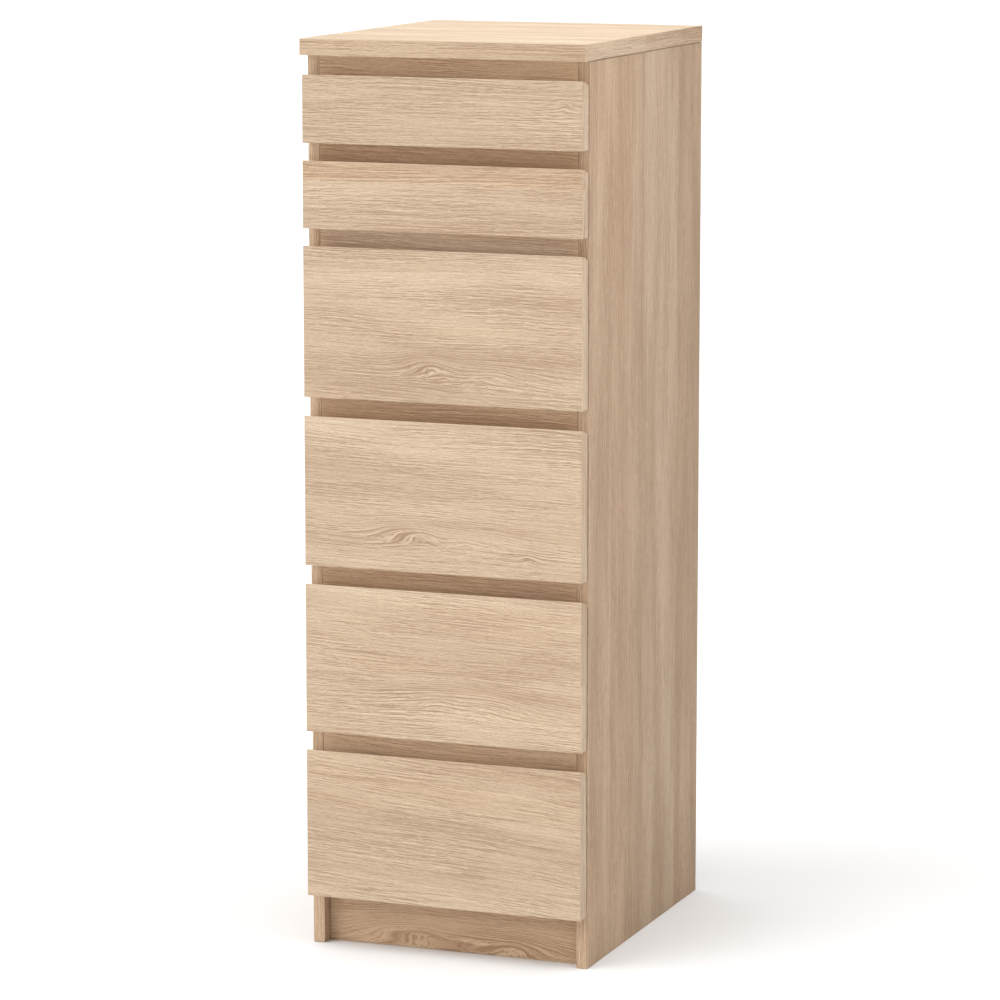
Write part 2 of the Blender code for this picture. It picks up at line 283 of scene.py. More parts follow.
class Finish(Graph):
    """The node tree of one material, with a Principled shader at its end."""

    def __init__(self, name: str) -> None:
        """Make an empty material with its output and Principled shader.

        Args:
            name: The material's name.
        """
        self.material = bpy.data.materials.new(name)
        self.material.use_nodes = True
        super().__init__(self.material.node_tree)
        self.shader = self.node("ShaderNodeBsdfPrincipled")
        output = self.node("ShaderNodeOutputMaterial")
        self.tree.links.new(self.shader.outputs["BSDF"], output.inputs["Surface"])

    def bump(self, height: Signal, distance: float, strength: float) -> None:
        """Raise the surface by a height of about 0 to 1, each unit a distance in metres."""
        values = {"Height": height, "Distance": distance, "Strength": strength}
        self.feed(self.shader, "Normal", self.signal("ShaderNodeBump", "Normal", inputs=values))

    def set(self, **constants: Any) -> None:
        """Set or link shader inputs, named with underscores for spaces.

        Args:
            constants: A number, a colour or a signal for each input.
        """
        for name, value in constants.items():
            if isinstance(value, tuple):
                value = (*value, 1.0)
            self.feed(self.shader, name.replace("_", " "), value)


# Finishes


@dataclass(frozen=True)
class Leaf:
    """One leaf of veneer, from its start along the cross direction on."""

    start: float
    # tone and warmth scale the leaf's colour: its own tone, and on some boards painted shade,
    # painted light and painted warm bounce light as well.
    tone: float = 1.0
    warmth: float = 0.0


@dataclass(frozen=True)
class Swirl:
    """A place where the grain lines arch round a hidden branch."""

    along: float
    across: float
    length: float
    height: float
    lift: float


@dataclass(frozen=True)
class Layup:
    """How one veneered board is laid up and how its leaves were cut."""

    grain: Axis
    cross: Axis
    seed: float
    leaves: tuple[Leaf, ...] = ()
    bands: tuple[Leaf, ...] = ()
    swirls: tuple[Swirl, ...] = ()
    # tone and warmth scale the board's colour: its own tone, and on some boards painted shade,
    # painted light and painted warm bounce light as well.
    tone: float = 1.0
    warmth: float = 0.0
    ring_rate: float = 240.0
    slope: float = 0.0
    figuring: float = 1.0

    @property
    def thickness(self) -> Axis:
        """The axis that the board is thin along."""
        return Axis(3 - self.grain - self.cross)


@dataclass(frozen=True)
class OakVeneer:
    """White-stained oak veneer under a matt lacquer, with banded edges."""

    pale: Colour = (0.735, 0.584, 0.425)
    dark: Colour = (0.385, 0.260, 0.170)
    blush: Colour = (0.655, 0.477, 0.331)
    roughness: float = 0.52
    gloss: float = 0.16
    band_thickness: float = 0.0005
    seam_width: float = 0.00025
    wander: float = 0.016
    wobble: float = 0.0007
    ripple: float = 0.005
    leaf_seed_step: float = 3.71

    def leaf_value(self, place: Signal, base: float, leaves: Sequence[Leaf], name: str) -> Number:
        """Return one quality of the veneer leaf at a place.

        Args:
            place: The coordinate across the leaves.
            base: The value before the first leaf's start.
            leaves: The leaves in order of their starts.
            name: The quality, a field of Leaf.

        Returns:
            A signal, or the plain number where there is one leaf only.
        """
        value: Number = base
        last = base
        for leaf in leaves:
            current = getattr(leaf, name)
            value = place.above(leaf.start) * (current - last) + value
            last = current
        return value

    def rings(
        self, graph: Graph, along: Signal, across: Signal, seed: Number, layup: Layup
    ) -> tuple[Signal, Number]:
        """Return the coordinate that grain lines follow, and where it is figured.

        Args:
            graph: The material's graph.
            along: The coordinate along the grain.
            across: The coordinate across the grain.
            seed: A number that sets this leaf's pattern apart.
            layup: The board's layup, with its swirls.

        Returns:
            The bent cross coordinate, constant along each grain line, and a
            value that rises to 1 in the middle of each swirl.
        """
        shifted = along + seed
        ring = graph.fibre(shifted * 2.2, across * 7.0, 1.0) * self.wander + across
        ring = along * layup.slope + ring
        ring = graph.fibre(shifted * 9.0, across * 30.0) * self.wobble + ring
        figure: Number = 0.0
        for swirl in layup.swirls:
            sideways = (along - swirl.along) / swirl.length
            upward = (across - swirl.across) / swirl.height
            spread = (sideways * sideways + upward * upward) * -1.0
            inside = graph.math("EXPONENT", spread)
            ripple = graph.fibre(shifted * 18.0, across * 34.0) * self.ripple + swirl.lift
            ring = ring - inside * ripple
            figure = inside + figure
        return ring, figure

    def border_distance(self, places: Sequence[Signal], low: Vector, high: Vector) -> Signal:
        """Return the distance on the surface to the board's nearest edge.

        Args:
            places: The three coordinates of the place.
            low: The board's lowest corner.
            high: The board's highest corner.

        Returns:
            The middle one of the three distances to the faces.
        """
        depths = [
            (high[axis] - low[axis]) / 2 - abs(places[axis] - (high[axis] + low[axis]) / 2)
            for axis in Axis
        ]
        first, second, third = depths
        return first.least(second).most(first.most(second).least(third))

    def material(self, name: str, layup: Layup, low: Vector, high: Vector) -> bpy.types.Material:
        """Make the veneer material of one board.

        Args:
            name: The board's name.
            layup: How it is laid up.
            low: Its lowest corner.
            high: Its highest corner.

        Returns:
            The material.
        """
        graph = Finish(f"oak_{name}")
        places = graph.axes()
        lengthwise = places[layup.grain]
        crosswise = places[layup.cross]
        deep = places[layup.thickness] - low[layup.thickness]

        half = (high[layup.grain] - low[layup.grain]) / 2
        middle = (high[layup.grain] + low[layup.grain]) / 2
        end = abs(lengthwise - middle).above(half - self.band_thickness)
        along = (crosswise - lengthwise) * end + lengthwise
        across = (lengthwise - crosswise) * end + crosswise + deep

        # The leaf and band tones and warmth below carry the veneer's own tone, and on some boards
        # painted shade, painted light and painted warm bounce light.
        face_tone = self.leaf_value(crosswise, layup.tone, layup.leaves, "tone")
        band_tone = self.leaf_value(crosswise, layup.tone, layup.bands, "tone")
        face_warmth = self.leaf_value(crosswise, layup.warmth, layup.leaves, "warmth")
        band_warmth = self.leaf_value(crosswise, layup.warmth, layup.bands, "warmth")
        tone = end * band_tone + (1.0 - end) * face_tone
        warmth = end * band_warmth + (1.0 - end) * face_warmth
        starts = [crosswise.above(leaf.start) for leaf in layup.leaves]
        seed: Number = layup.seed
        for started in starts:
            seed = started * self.leaf_seed_step + seed

        ring, figure = self.rings(graph, along, across, seed, layup)
        shifted = along + seed
        cloud = graph.fibre(shifted * 1.8, ring * 20.0, 1.0)
        blush = graph.fibre(shifted * 2.6, ring * 45.0, 1.0)
        fade = (graph.fibre(shifted * 6.0, ring * 32.0, 1.0) + 0.5).step(0.25, 0.70)
        sway = graph.fibre(shifted * 4.0, ring * 60.0) * 2.4
        wave = graph.math("SINE", (ring * layup.ring_rate + sway) * (2.0 * math.pi)).step(0.0, 1.0)
        band = graph.strand(shifted * 6.0, ring * 150.0)
        dash = graph.strand(shifted * 16.0, ring * 380.0)
        pore = graph.strand(shifted * 45.0, ring * 800.0).step(0.02, 0.42)
        fleck = graph.strand(shifted * 150.0, ring * 1500.0).step(0.05, 0.45)
        fine = wave * (figure * (0.32 * layup.figuring) + 0.20) + dash * 0.40 + pore * 0.75
        depth = fine * (fade * 0.9 + 0.45) + band * 0.18 + fleck * 0.80 + cloud * 0.65 + 0.25

        colour = graph.mix((blush + 0.1).most(0.0) * 1.2, self.pale, self.blush)
        colour = graph.mix(depth, colour, self.dark)

        edge = self.border_distance(places, low, high)
        seam = 1.0 - abs(edge - self.band_thickness * 2.0).step(0.0, self.seam_width)
        # Lighter along every arris: a painted highlight where the edges catch light.
        arris_highlight = 1.0 - edge.step(0.0, self.band_thickness * 2.4)
        shade = tone * (1.0 - seam * 0.14)
        tint = graph.signal(
            "ShaderNodeCombineColor",
            "Color",
            inputs={
                "Red": shade,
                "Green": shade * (1.0 - warmth * 0.040),
                "Blue": shade * (1.0 - warmth * 0.075),
            },
        )
        colour = graph.mix(1.0, colour, tint, "MULTIPLY")
        # Painted highlight on the arrises, mixed towards the pale colour.
        colour = graph.mix(arris_highlight * 0.18, colour, self.pale)

        graph.set(Base_Color=colour, Roughness=depth * 0.12 + self.roughness)
        graph.set(Specular_IOR_Level=self.gloss)
        graph.bump(1.0 - depth, 0.00010, 0.25)
        return graph.material


@dataclass(frozen=True)
class PrintedFoil:
    """Off-white foil on fibre board, as on drawer sides and the tray floor."""

    colour: Colour = (0.72, 0.695, 0.655)
    shade: Colour = (0.66, 0.635, 0.595)
    roughness: float = 0.42

    def material(self, name: str) -> bpy.types.Material:
        """Make the printed foil material.

        Args:
            name: The material's name.

        Returns:
            The material.
        """
        graph = Finish(name)
        place = graph.position()
        cloud = graph.noise(place, 3.0, scale=14.0)
        grit = graph.noise(place, 2.0, 0.7, scale=1600.0)
        patches = cloud.step(0.35, 0.65) * 0.6 + grit.step(0.4, 0.7) * 0.25
        colour = graph.mix(patches, self.colour, self.shade)
        graph.set(Base_Color=colour, Roughness=grit * 0.12 + self.roughness)
        graph.bump(grit, 0.00004, 0.35)
        return graph.material


@dataclass(frozen=True)
class Hardboard:
    """Thin hardboard, painted on one face and bare brown fibre on the other."""

    paint: Colour = (0.71, 0.685, 0.645)
    fibre: Colour = (0.34, 0.225, 0.135)
    fibre_dark: Colour = (0.22, 0.135, 0.075)

    def material(self, name: str, axis: Axis, bare_above: float, sign: float) -> bpy.types.Material:
        """Make the hardboard material.

        Args:
            name: The material's name.
            axis: The axis that the sheet is thin along.
            bare_above: The coordinate where the bare face begins.
            sign: 1 where the bare face lies beyond it, -1 where it lies before.

        Returns:
            The material.
        """
        graph = Finish(name)
        place = graph.position()
        bare = ((graph.axes()[axis] - bare_above) * sign).above(0.0)
        mottle = graph.noise(place, 5.0, 0.65, scale=120.0)
        hair = graph.noise(place, 3.0, 0.7, scale=900.0)
        tangle = mottle.step(0.35, 0.65) * 0.6 + hair.step(0.45, 0.7) * 0.4
        brown = graph.mix(tangle, self.fibre, self.fibre_dark)
        painted = graph.mix(hair * 0.12, self.paint, self.fibre)
        graph.set(Base_Color=graph.mix(bare, painted, brown), Roughness=bare * 0.30 + 0.50)
        graph.bump(hair * (bare * 0.8 + 0.2), 0.00008, 0.5)
        return graph.material


@dataclass(frozen=True)
class PowderCoat:
    """Off-white powder coat on rolled steel, rubbed where rollers run."""

    colour: Colour = (0.78, 0.78, 0.765)
    rubbed: Colour = (0.52, 0.52, 0.51)

    def material(self, name: str) -> bpy.types.Material:
        """Make the powder-coat material.

        Args:
            name: The material's name.

        Returns:
            The material.
        """
        graph = Finish(name)
        x, y, z = graph.axes()
        peel = graph.noise(graph.position(), 2.0, scale=700.0)
        rub = graph.noise(graph.vector(x * 900.0, y * 9.0, z * 900.0), 2.0, 0.6).step(0.58, 0.76)
        graph.set(
            Base_Color=graph.mix(rub * 0.5, self.colour, self.rubbed),
            Roughness=0.34 - rub * 0.08 + peel * 0.06,
            Metallic=rub * 0.35,
        )
        graph.bump(peel, 0.00006, 0.35)
        return graph.material


@dataclass(frozen=True)
class ZincPlate:
    """Bright zinc plate with a faint crystal pattern."""

    bright: Colour = (0.66, 0.67, 0.69)
    dull: Colour = (0.50, 0.51, 0.53)

    def material(self, name: str) -> bpy.types.Material:
        """Make the zinc material.

        Args:
            name: The material's name.

        Returns:
            The material.
        """
        graph = Finish(name)
        place = graph.position()
        cells = {"Vector": place, "Scale": 420.0}
        spangle = graph.signal("ShaderNodeTexVoronoi", "Color", inputs=cells)
        parts = graph.node("ShaderNodeSeparateColor", inputs={"Color": spangle})
        patch = Signal(graph, parts.outputs[0])
        scratch = graph.noise(place, 4.0, 0.7, scale=300.0)
        graph.set(
            Base_Color=graph.mix(patch * 0.6 + scratch * 0.3, self.bright, self.dull),
            Roughness=patch * 0.12 + scratch * 0.10 + 0.24,
            Metallic=1.0,
        )
        graph.bump(scratch, 0.00002, 0.3)
        return graph.material


@dataclass(frozen=True)
class MirrorGlass:
    """Silvered glass with ground, faintly green edges."""

    silver: Colour = (0.91, 0.93, 0.925)
    rim: Colour = (0.30, 0.46, 0.40)

    def material(self, name: str, low: Vector, high: Vector) -> bpy.types.Material:
        """Make the mirror material of a plate between two corners.

        Args:
            name: The material's name.
            low: The plate's lowest corner.
            high: The plate's highest corner.

        Returns:
            The material.
        """
        graph = Finish(name)
        x, y, _ = graph.axes()
        ground = 0.0008
        side = abs(x - (low[0] + high[0]) / 2).above((high[0] - low[0]) / 2 - ground)
        end = abs(y - (low[1] + high[1]) / 2).above((high[1] - low[1]) / 2 - ground)
        rim = side.most(end)
        smear = graph.noise(graph.position(), 3.0, 0.6, scale=18.0).step(0.45, 0.8)
        graph.set(
            Base_Color=graph.mix(rim, self.silver, self.rim),
            Metallic=1.0 - rim,
            Roughness=smear * 0.025 + rim * 0.30 + 0.015,
        )
        return graph.material


@dataclass(frozen=True)
class Nylon:
    """Moulded nylon of the rollers, with faint turning marks."""

    colour: Colour = (0.82, 0.81, 0.78)
    shade: Colour = (0.66, 0.65, 0.61)

    def material(self, name: str) -> bpy.types.Material:
        """Make the nylon material.

        Args:
            name: The material's name.

        Returns:
            The material.
        """
        graph = Finish(name)
        x, _, _ = graph.axes()
        cloud = graph.noise(graph.position(), 3.0, scale=220.0)
        groove = graph.noise(graph.vector(x * 5200.0, 0.0, 0.0), 1.0)
        graph.set(
            Base_Color=graph.mix(cloud.step(0.35, 0.7) * 0.5, self.colour, self.shade),
            Roughness=groove * 0.10 + 0.34,
            Subsurface_Weight=0.08,
        )
        graph.bump(groove, 0.00003, 0.4)
        return graph.material


@dataclass(frozen=True)
class ClearSilicone:
    """Milky silicone of the dots that the lid rests on."""

    colour: Colour = (0.78, 0.80, 0.80)
    dusty: Colour = (0.60, 0.62, 0.62)

    def material(self, name: str) -> bpy.types.Material:
        """Make the silicone material.

        Args:
            name: The material's name.

        Returns:
            The material.
        """
        graph = Finish(name)
        dust = graph.noise(graph.position(), 3.0, 0.6, scale=500.0)
        graph.set(
            Base_Color=graph.mix(dust * 0.3, self.colour, self.dusty),
            Roughness=dust * 0.2 + 0.18,
            Subsurface_Weight=0.3,
        )
        return graph.material


# Mesh working


class Workpiece:
    """A mesh in the making, built from extruded and turned shapes."""

    SEGMENTS = 40
    SMOOTH_ANGLE = 32.0

    def __init__(self) -> None:
        """Start with no geometry."""
        self.bm = bmesh.new()

    def sweep(self, outline: Outline, axis: Axis, start: float, length: float) -> "Workpiece":
        """Add a prism whose flat outline is extruded along an axis.

        Args:
            outline: Corners as pairs of the two other coordinates, in axis order.
            axis: The direction of the extrusion.
            start: Where the prism begins on that axis.
            length: How far it runs.

        Returns:
            This workpiece.
        """
        rim = []
        for first, second in outline:
            corner = [first, second]
            corner.insert(axis, start)
            rim.append(self.bm.verts.new(corner))
        cap = self.bm.faces.new(rim)
        swept = bmesh.ops.extrude_face_region(self.bm, geom=[cap])
        moved = [item for item in swept["geom"] if isinstance(item, bmesh.types.BMVert)]
        run = Vector((0.0, 0.0, 0.0))
        run[axis] = length
        bmesh.ops.translate(self.bm, verts=moved, vec=run)
        return self

    def turn(self, profile: Outline, axis: Axis, centre: Point, sign: float = 1.0) -> "Workpiece":
        """Add a turned shape about a line through a centre.

        Args:
            profile: Pairs of distance along the axis and radius, from end to end.
            axis: The direction of the axis.
            centre: The point where the distance along the axis is zero.
            sign: 1 to run along the axis, -1 to run against it.

        Returns:
            This workpiece.
        """
        others = [other for other in Axis if other != axis]
        rings = []
        for along, radius in profile:
            ring = []
            for index in range(self.SEGMENTS):
                angle = 2.0 * math.pi * index / self.SEGMENTS
                corner = Vector(centre)
                corner[axis] += sign * along
                corner[others[0]] += radius * math.cos(angle)
                corner[others[1]] += radius * math.sin(angle)
                ring.append(self.bm.verts.new(corner))
            rings.append(ring)
        for ring, following in zip(rings, rings[1:]):
            for index in range(self.SEGMENTS):
                after = (index + 1) % self.SEGMENTS
                self.bm.faces.new((ring[index], ring[after], following[after], following[index]))
        self.bm.faces.new(rings[0])
        self.bm.faces.new(rings[-1])
        return self

    def stamp(self, mesh: bpy.types.Mesh, places: Iterable[Matrix]) -> "Workpiece":
        """Add a copy of a finished mesh at each place.

        Args:
            mesh: The mesh to copy.
            places: Where each copy's origin goes and how it turns.

        Returns:
            This workpiece.
        """
        for place in places:
            known = set(self.bm.verts)
            self.bm.from_mesh(mesh)
            fresh = [vert for vert in self.bm.verts if vert not in known]
            bmesh.ops.transform(self.bm, matrix=place, verts=fresh)
        return self

    def mesh(self, name: str) -> bpy.types.Mesh:
        """Close the workpiece and return it as a mesh with smooth round walls.

        Args:
            name: The mesh's name.

        Returns:
            The mesh, sharp where its faces meet at a marked angle.
        """
        bmesh.ops.recalc_face_normals(self.bm, faces=self.bm.faces)
        made = bpy.data.meshes.new(name)
        self.bm.to_mesh(made)
        self.bm.free()
        made.shade_smooth()
        made.set_sharp_from_angle(angle=math.radians(self.SMOOTH_ANGLE))
        return made


def add_piece(
    name: str,
    work: Workpiece,
    material: bpy.types.Material,
    body: str,
    rounding: float = 0.0,
) -> bpy.types.Object:
    """Put a finished workpiece into the scene as a piece that rides on a body.

    Args:
        name: The piece's name.
        work: Its geometry, in chest coordinates.
        material: Its finish.
        body: The body that it rides on.
        rounding: The width of its rounded edges, in metres.

    Returns:
        The piece.
    """
    mesh = work.mesh(name)
    mesh.materials.append(material)
    piece = bpy.data.objects.new(name, mesh)
    bpy.context.scene.collection.objects.link(piece)
    if rounding > 0.0:
        bevel = piece.modifiers.new("edges", "BEVEL")
        bevel.width = rounding
        bevel.segments = 2
        bevel.limit_method = "ANGLE"
        bevel.angle_limit = math.radians(40.0)
    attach(piece, body)
    LOG.info("built %s on %s", name, body)
    return piece


def dress(node: str, material: bpy.types.Material) -> None:
    """Give a CAD node its finish.

    Args:
        node: The node's name.
        material: Its finish.
    """
    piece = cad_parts[node]
    for index in range(len(piece.material_slots)):
        piece.material_slots[index].link = "OBJECT"
        piece.material_slots[index].material = material
    LOG.info("dressed %s", node)


def facing(axis: Axis, sign: float, place: Point) -> Matrix:
    """Return the matrix that stands a fixing's +Z along an axis at a place.

    Args:
        axis: The axis that the fixing's head looks along.
        sign: 1 or -1, which way along that axis.
        place: Where the fixing's head meets the surface.

    Returns:
        The matrix.
    """
    direction = Vector((0.0, 0.0, 0.0))
    direction[axis] = sign
    turned = direction.to_track_quat("Z", "Y").to_matrix().to_4x4()
    return Matrix.Translation(Vector(place)) @ turned


@dataclass(frozen=True)
class Fixings:
    """The small metal fixings, made once and stamped where they are used."""

    head_radius: float = 0.0034
    head_height: float = 0.0012
    cam_radius: float = 0.0075
    cam_height: float = 0.0005
    recess: float = 0.0007

    def crossed(self, name: str, profile: Outline, arm: float, depth: float) -> bpy.types.Mesh:
        """Return a turned head with a cross recess in its top.

        Args:
            name: The mesh's name.
            profile: The head's profile along +Z.
            arm: Half the length of the cross.
            depth: How deep the cross goes.

        Returns:
            The mesh.
        """
        head_mesh = Workpiece().turn(profile, Axis.UP, (0.0, 0.0, 0.0)).mesh(name)
        head = bpy.data.objects.new(name, head_mesh)
        top = profile[-1][0]
        width = self.recess
        helpers = [head]
        bpy.context.scene.collection.objects.link(head)
        for turned in (False, True):
            long, short = (width, arm) if turned else (arm, width)
            outline = [(-long, -short), (long, -short), (long, short), (-long, short)]
            groove = Workpiece().sweep(outline, Axis.UP, top - depth, depth * 2.0)
            tool_mesh = groove.mesh(f"{name}_slot")
            tool = bpy.data.objects.new(f"{name}_slot", tool_mesh)
            bpy.context.scene.collection.objects.link(tool)
            helpers.append(tool)
            cut = head.modifiers.new("slot", "BOOLEAN")
            cut.operation = "DIFFERENCE"
            cut.solver = "EXACT"
            cut.object = tool
        shaped = bpy.data.meshes.new_from_object(
            head.evaluated_get(bpy.context.evaluated_depsgraph_get())
        )
        for helper in helpers:
            bpy.data.objects.remove(helper, do_unlink=True)
        return shaped

    def screw(self) -> bpy.types.Mesh:
        """Return a pan head screw's head with its cross recess.

        Returns:
            The mesh, standing on the origin.
        """
        radius = self.head_radius
        height = self.head_height
        profile = [
            (0.0, radius),
            (height * 0.35, radius),
            (height * 0.75, radius * 0.88),
            (height, radius * 0.62),
        ]
        return self.crossed("screw_head", profile, radius * 0.46, height * 0.6)

    def cam(self) -> bpy.types.Mesh:
        """Return the round face of a cam lock with its cross recess.

        Returns:
            The mesh, standing on the origin.
        """
        radius = self.cam_radius
        profile = [(0.0, radius), (self.cam_height * 0.6, radius), (self.cam_height, radius * 0.94)]
        return self.crossed("cam_face", profile, radius * 0.55, self.cam_height * 0.7)

    def rivet_profile(self, shank: float) -> Outline:
        """Return the profile of a rivet whose domed head ends a shank.

        Args:
            shank: How long the shank is.

        Returns:
            Pairs of distance along the rivet and radius.
        """
        return [
            (0.0, 0.0019),
            (shank, 0.0019),
            (shank, 0.0031),
            (shank + 0.0005, 0.0029),
            (shank + 0.0009, 0.0018),
        ]


# The sub-assemblies


@dataclass
class Palette:
    """The finishes that more than one sub-assembly shares."""

    oak: OakVeneer = field(default_factory=OakVeneer)
    fixings: Fixings = field(default_factory=Fixings)

    def __post_init__(self) -> None:
        """Make the shared materials and fixing meshes once."""
        self.foil = PrintedFoil().material("white_foil")
        self.coat = PowderCoat().material("powder_coat")
        self.zinc = ZincPlate().material("zinc_plate")
        self.nylon = Nylon().material("roller_nylon")
        self.silicone = ClearSilicone().material("rest_silicone")
        self.screw = self.fixings.screw()
        self.cam = self.fixings.cam()

    def veneer(self, node: str, layup: Layup) -> None:
        """Dress a CAD node in oak veneer laid up as told."""
        low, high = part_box(node)
        dress(node, self.oak.material(node, layup, low, high))


@dataclass
class Carcass:
    """The side panels, rails, plinth, back and tray floor."""

    palette: Palette
    bumper_radius: float = 0.004
    bumper_height: float = 0.0007
    bumper_inset: float = 0.020
    bumper_rear_inset: float = 0.045
    cam_inset: float = 0.034
    back_paint_share: float = 0.4
    rail_seed: float = 40.0
    rail_seed_step: float = 2.3

    def dress_panels(self) -> None:
        """Veneer the two side panels with upright leaves."""
        # The leaves are darker and warmer than the fronts: painted shade on the chest's sides, over
        # their own leaf-to-leaf tone.
        leaves = (
            Leaf(-0.2150, 0.840, 1.9),
            Leaf(-0.1285, 0.815, 2.1),
            Leaf(-0.0535, 0.780, 1.9),
            Leaf(0.0005, 0.825, 1.1),
            Leaf(0.1395, 0.750, 2.0),
        )
        for side in Side:
            seed = 11.0 if side is Side.RIGHT else 23.0
            layup = Layup(Axis.UP, Axis.DEPTH, seed, leaves, warmth=1.2)
            self.palette.veneer(f"side_panel_{side.word}", layup)

    def dress_rails(self) -> None:
        """Veneer the rails and the plinth, whose grain runs across the width."""
        # Each rail's tone and warmth are set to how the rail looks lit in its recess: painted light
        # and painted warm bounce light, over the veneer's own tone.
        shades = ((1.09, 1.8), (0.98, 2.4), (1.24, -0.3), (1.10, 1.8), (1.06, 1.8), (1.10, 1.2))
        for number, (tone, warmth) in enumerate(shades, start=1):
            seed = self.rail_seed + number * self.rail_seed_step
            layup = Layup(Axis.WIDTH, Axis.UP, seed, slope=0.03, tone=tone, warmth=warmth)
            self.palette.veneer(f"front_rail_{number}", layup)
        arches = (
            Swirl(-0.060, 0.026, 0.090, 0.020, 0.026),
            Swirl(0.085, 0.020, 0.070, 0.018, 0.020),
        )
        # The plinth's warmth is partly the veneer's own redness and partly painted warm bounce
        # light in its recess.
        plinth = Layup(Axis.WIDTH, Axis.UP, 61.0, swirls=arches, warmth=2.2, figuring=1.8)
        self.palette.veneer("plinth", plinth)
        self.palette.veneer("back_rail", Layup(Axis.WIDTH, Axis.UP, 71.0, tone=0.97))

    def dress_back(self) -> None:
        """Give the back panel and the tray floor their boards' faces."""
        low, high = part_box("back_panel")
        bare_from = low.y + (high.y - low.y) * self.back_paint_share
        dress("back_panel", Hardboard().material("back_hardboard", Axis.DEPTH, bare_from, 1.0))
        dress("tray_floor", self.palette.foil)

    def build_bumpers(self) -> None:
        """Set four silicone dots on the panels' top edges for the lid to rest on."""
        number = 0
        for side in Side:
            low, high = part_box(f"side_panel_{side.word}")
            x = (low.x + high.x) / 2
            for y in (low.y + self.bumper_inset, high.y - self.bumper_rear_inset):
                number += 1
                radius = self.bumper_radius
                height = self.bumper_height
                profile = [(0.0, radius), (height * 0.5, radius * 0.95)]
                profile += [(height * 0.85, radius * 0.75), (height, radius * 0.40)]
                work = Workpiece().turn(profile, Axis.UP, (x, y, high.z))
                name = f"lid_rest_{number}"
                add_piece(name, work, self.palette.silicone, "carcass")

    def build_cams(self) -> None:
        """Set a cam lock's face at each end of the rear of every rail but the top one."""
        places = []
        for number in range(2, RAIL_COUNT + 1):
            low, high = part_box(f"front_rail_{number}")
            for x in (low.x + self.cam_inset, high.x - self.cam_inset):
                places.append(facing(Axis.DEPTH, 1.0, (x, high.y, (low.z + high.z) / 2)))
        work = Workpiece().stamp(self.palette.cam, places)
        add_piece("rail_cam_locks", work, self.palette.zinc, "carcass")

    def build(self) -> None:
        """Dress the carcass and build its small parts."""
        self.dress_panels()
        self.dress_rails()
        self.dress_back()
        self.build_bumpers()
        self.build_cams()


